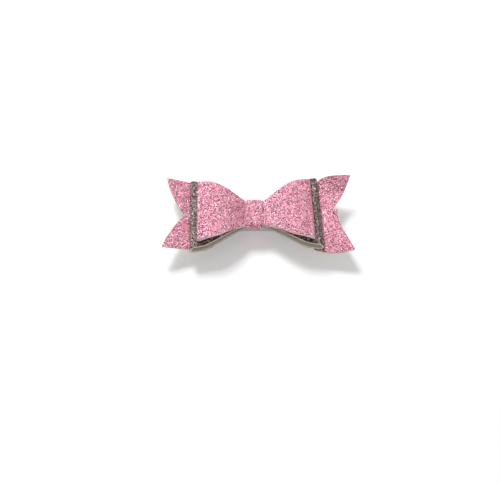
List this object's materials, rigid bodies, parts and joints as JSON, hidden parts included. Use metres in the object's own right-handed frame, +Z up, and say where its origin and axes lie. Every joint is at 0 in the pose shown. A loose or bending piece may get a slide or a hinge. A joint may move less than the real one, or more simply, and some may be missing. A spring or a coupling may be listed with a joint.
{
  "type": "hair bow",
  "caption": "Flat layered bow of glitter canvas with V-cut tails, folded loops and a centre wrap, bound onto a sprung hair clip with toothed jaws.",
  "frame": {"origin": "under the middle of the tail strip, on the surface the clip's lower jaw stands on", "axes": "+X along the bow from tail to tail, +Y across it, +Z up through its face"},
  "size_m": [0.102, 0.0544, 0.0156],
  "materials": {
    "pink_glitter": "glitter",
    "silver_glitter": "glitter",
    "canvas_backing": "matt",
    "clip_steel": "satin",
    "ribbon_pink": "ribbed",
    "hot_glue": "cloudy"
  },
  "bodies": {
    "bow": {"tail_strip_glitter": "pink_glitter", "tail_strip_backing": "canvas_backing", "outer_loop_glitter": "silver_glitter", "outer_loop_backing": "canvas_backing", "inner_loop_glitter": "pink_glitter", "inner_loop_backing": "canvas_backing", "centre_wrap_glitter": "pink_glitter", "centre_wrap_backing": "canvas_backing", "clip_upper_arm": "clip_steel", "hinge_pin": "clip_steel", "torsion_spring": "clip_steel", "ribbon_lining": "ribbon_pink", "glue_bed": "hot_glue"},
    "jaw": {"clip_lower_jaw": "clip_steel"}
  },
  "joints": [
    {"name": "jaw_hinge", "type": "hinge", "parent": "bow", "child": "jaw", "pos_m": [0.0094, -0.00125, 0.0027], "axis": [0, -1, 0], "range_deg": [0, 20], "stiffness_Nm_per_rad": 0.04, "springref_deg": -6.88, "deforming": ["torsion_spring"]}
  ]
}
